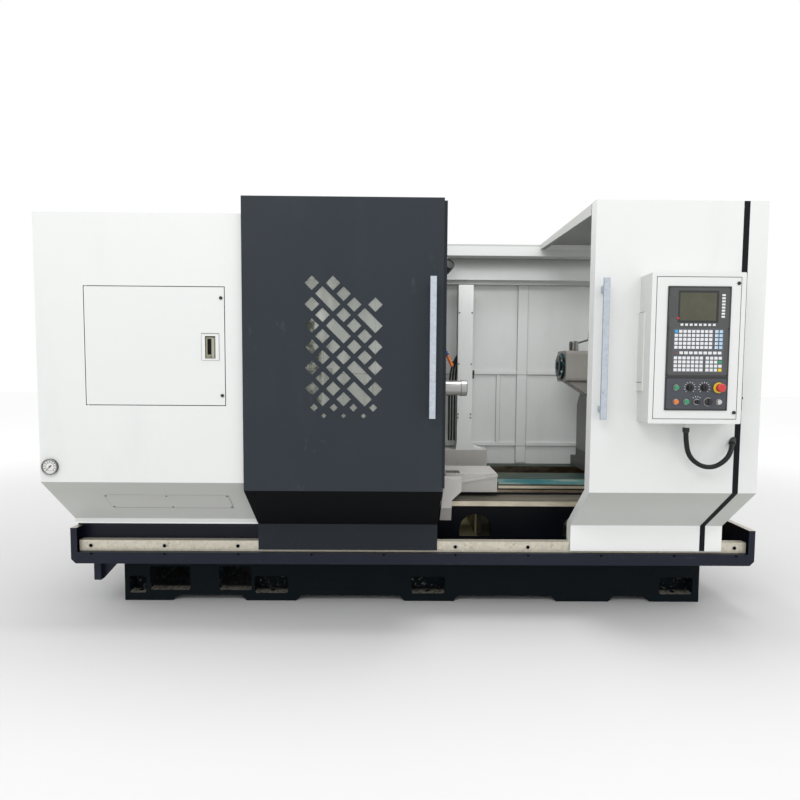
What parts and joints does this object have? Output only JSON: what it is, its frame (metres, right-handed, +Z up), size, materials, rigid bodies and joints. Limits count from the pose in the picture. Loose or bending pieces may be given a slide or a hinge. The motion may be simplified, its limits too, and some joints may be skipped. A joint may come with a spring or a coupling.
{
  "type": "cnc turning lathe",
  "caption": "Flat-bed turning lathe with a folded sheet enclosure: a charcoal sliding door with a lattice window, a sliding hood with a control box, chip tray, carriage, turret and tailstock.",
  "frame": {"origin": "on the floor, at the middle of the whole machine's box", "axes": "+X along the bed from the headstock to the tailstock, +Y from the operator to the rear, +Z up"},
  "size_m": [3.75, 1.718, 2.2174],
  "materials": {
    "white_paint": "fine textured white powder coat",
    "charcoal_paint": "fine textured charcoal powder coat",
    "blue_grey_paint": "smooth dark blue-grey paint",
    "black_paint": "black paint over a rough casting",
    "bed_iron": "painted grey casting with ground ways",
    "carriage_grey": "light grey painted casting",
    "ground_steel": "ground or galvanised",
    "pulley_iron": "turned",
    "motor_paint": "smooth dark paint",
    "belt_rubber": "matt",
    "zinc_handle": "bright zinc plate",
    "window_clear": "clear sheet",
    "chrome_trim": "polished",
    "needle_black": "matt",
    "unit_plastic": "light grey with printed keys",
    "screen_black": "glossy, switched off",
    "red_plastic": "glossy",
    "green_plastic": "glossy",
    "orange_plastic": "glossy",
    "knob_black": "matt",
    "button_silver": "satin",
    "conduit_grey": "ribbed grey sheath",
    "gland_white": "moulded"
  },
  "bodies": {
    "machine": {"bed_base": "black_paint", "chip_tray": "blue_grey_paint", "bed": "bed_iron", "headstock": "bed_iron", "spindle_bearings": "ground_steel", "door_rail": "ground_steel", "housing_front": "white_paint", "housing_shell": "white_paint", "slope_cover": "white_paint", "pressure_gauge": "chrome_trim", "rear_wall": "white_paint", "top_beam": "white_paint", "electrical_cabinet": "white_paint", "main_motor": "motor_paint", "drive_belts": "belt_rubber", "feed_drive": "motor_paint", "drip_shelf": "ground_steel"},
    "sliding_door": {"door_front": "charcoal_paint", "door_roof": "charcoal_paint", "door_window": "window_clear", "door_handle": "zinc_handle"},
    "hood": {"hood_front": "white_paint", "hood_roof": "white_paint", "hood_handle": "zinc_handle", "box_shell": "white_paint", "cable_glands": "gland_white", "conduit": "conduit_grey"},
    "panel_door": {"box_door": "white_paint", "cnc_unit": "unit_plastic", "cnc_screen": "screen_black", "operator_panel": "white_paint"},
    "estop": {"estop_button": "red_plastic"},
    "start": {"start_button": "green_plastic"},
    "stop": {"stop_button": "orange_plastic"},
    "lamp": {"lamp_button": "green_plastic"},
    "reset": {"reset_button": "button_silver"},
    "feed_override": {"feed_knob": "knob_black"},
    "speed_override": {"speed_knob": "knob_black"},
    "mode_switch": {"mode_selector": "knob_black"},
    "jog_wheel": {"jog_dial": "knob_black"},
    "service_door": {"access_door": "white_paint"},
    "service_latch": {"access_latch": "chrome_trim"},
    "spindle_rotor": {"spindle": "ground_steel", "chuck_body": "ground_steel", "spindle_pulley": "pulley_iron"},
    "jaw_a": {"jaw_1": "ground_steel"},
    "jaw_b": {"jaw_2": "ground_steel"},
    "jaw_c": {"jaw_3": "ground_steel"},
    "motor_rotor": {"motor_pulley": "pulley_iron"},
    "carriage": {"saddle": "carriage_grey", "cable_mast": "carriage_grey"},
    "lead_screw": {"feed_screw": "ground_steel"},
    "tool_slide": {"cross_slide": "carriage_grey", "turret_base": "carriage_grey"},
    "turret": {"turret_head": "ground_steel"},
    "tail_body": {"tailstock": "carriage_grey"},
    "tail_quill": {"quill": "ground_steel"},
    "tail_wheel": {"handwheel": "ground_steel"},
    "tail_clamp": {"clamp_lever": "ground_steel"},
    "needle": {"gauge_needle": "needle_black"}
  },
  "joints": [
    {"name": "door_slide", "type": "slide", "parent": "machine", "child": "sliding_door", "axis": [1, 0, 0], "range_m": [-0.91, 0]},
    {"name": "hood_slide", "type": "slide", "parent": "machine", "child": "hood", "axis": [1, 0, 0], "range_m": [-0.7, 0.13]},
    {"name": "access_door_swing", "type": "hinge", "parent": "machine", "child": "service_door", "pos_m": [-1.6265, -0.6685, 1.467], "axis": [0, 0, -1], "range_deg": [0, 110]},
    {"name": "access_latch_pull", "type": "hinge", "parent": "service_door", "child": "service_latch", "pos_m": [-1.0205, -0.67, 1.509], "axis": [-1, 0, 0], "range_deg": [0, 25], "stiffness_Nm_per_rad": 0.3},
    {"name": "box_door_swing", "type": "hinge", "parent": "hood", "child": "panel_door", "pos_m": [1.1155, -0.8105, 1.469], "axis": [0, 0, -1], "range_deg": [0, 100]},
    {"name": "estop_push", "type": "slide", "parent": "panel_door", "child": "estop", "axis": [0, 1, 0], "range_m": [0, 0.005], "stiffness_N_per_m": 600},
    {"name": "start_push", "type": "slide", "parent": "panel_door", "child": "start", "axis": [0, 1, 0], "range_m": [0, 0.0035], "stiffness_N_per_m": 400},
    {"name": "stop_push", "type": "slide", "parent": "panel_door", "child": "stop", "axis": [0, 1, 0], "range_m": [0, 0.0035], "stiffness_N_per_m": 400},
    {"name": "lamp_push", "type": "slide", "parent": "panel_door", "child": "lamp", "axis": [0, 1, 0], "range_m": [0, 0.0035], "stiffness_N_per_m": 400},
    {"name": "reset_push", "type": "slide", "parent": "panel_door", "child": "reset", "axis": [0, 1, 0], "range_m": [0, 0.0035], "stiffness_N_per_m": 400},
    {"name": "feed_override_turn", "type": "hinge", "parent": "panel_door", "child": "feed_override", "pos_m": [1.278, -0.83, 1.285], "axis": [0, 1, 0], "range_deg": [-135, 135]},
    {"name": "speed_override_turn", "type": "hinge", "parent": "panel_door", "child": "speed_override", "pos_m": [1.346, -0.83, 1.285], "axis": [0, 1, 0], "range_deg": [-135, 135]},
    {"name": "mode_turn", "type": "hinge", "parent": "panel_door", "child": "mode_switch", "pos_m": [1.312, -0.83, 1.218], "axis": [0, 1, 0], "range_deg": [-60, 60]},
    {"name": "jog_turn", "type": "hinge", "parent": "panel_door", "child": "jog_wheel", "pos_m": [1.366, -0.83, 1.218], "axis": [0, 1, 0], "continuous": true},
    {"name": "spindle_spin", "type": "hinge", "parent": "machine", "child": "spindle_rotor", "pos_m": [-1.2, 0.247, 1.395], "axis": [1, 0, 0], "continuous": true},
    {"name": "motor_spin", "type": "hinge", "parent": "machine", "child": "motor_rotor", "pos_m": [-1.6, 0.247, 1.89], "axis": [1, 0, 0], "continuous": true},
    {"name": "jaw_1_grip", "type": "slide", "parent": "spindle_rotor", "child": "jaw_a", "axis": [0, 0, 1], "range_m": [-0.02, 0.02]},
    {"name": "jaw_2_grip", "type": "slide", "parent": "spindle_rotor", "child": "jaw_b", "axis": [0, -0.866, -0.5], "range_m": [-0.02, 0.02]},
    {"name": "jaw_3_grip", "type": "slide", "parent": "spindle_rotor", "child": "jaw_c", "axis": [0, 0.866, -0.5], "range_m": [-0.02, 0.02]},
    {"name": "carriage_feed", "type": "slide", "parent": "machine", "child": "carriage", "axis": [1, 0, 0], "range_m": [-0.2, 0.45]},
    {"name": "screw_turn", "type": "hinge", "parent": "machine", "child": "lead_screw", "pos_m": [0, -0.15, 0.57], "axis": [1, 0, 0], "range_deg": [-6000, 13500]},
    {"name": "cross_feed", "type": "slide", "parent": "carriage", "child": "tool_slide", "axis": [0, 1, 0], "range_m": [-0.12, 0.22]},
    {"name": "turret_index", "type": "hinge", "parent": "tool_slide", "child": "turret", "pos_m": [-0.08, 0.01, 1.4], "axis": [0, 0, 1], "continuous": true},
    {"name": "tailstock_slide", "type": "slide", "parent": "machine", "child": "tail_body", "axis": [1, 0, 0], "range_m": [-0.45, 0.03]},
    {"name": "handwheel_turn", "type": "hinge", "parent": "tail_body", "child": "tail_wheel", "pos_m": [1.665, 0.247, 1.395], "axis": [1, 0, 0], "range_deg": [0, 4320]},
    {"name": "quill_feed", "type": "slide", "parent": "tail_body", "child": "tail_quill", "axis": [-1, 0, 0], "range_m": [0, 0.121]},
    {"name": "quill_clamp", "type": "hinge", "parent": "tail_body", "child": "tail_clamp", "pos_m": [1.063, 0.247, 1.52], "axis": [0, 0, 1], "range_deg": [-70, 0]},
    {"name": "gauge_turn", "type": "hinge", "parent": "machine", "child": "needle", "pos_m": [-1.82, -0.68, 0.867], "axis": [0, 1, 0], "range_deg": [0, 270], "stiffness_Nm_per_rad": 0.002}
  ],
  "couplings": [
    {"joint": "motor_spin", "follows": "spindle_spin", "ratio": 2},
    {"joint": "jaw_2_grip", "follows": "jaw_1_grip", "ratio": 1},
    {"joint": "jaw_3_grip", "follows": "jaw_1_grip", "ratio": 1},
    {"joint": "screw_turn", "follows": "carriage_feed", "rad_per_m": 523.6},
    {"joint": "quill_feed", "follows": "handwheel_turn", "m_per_rad": 0.0015915}
  ]
}
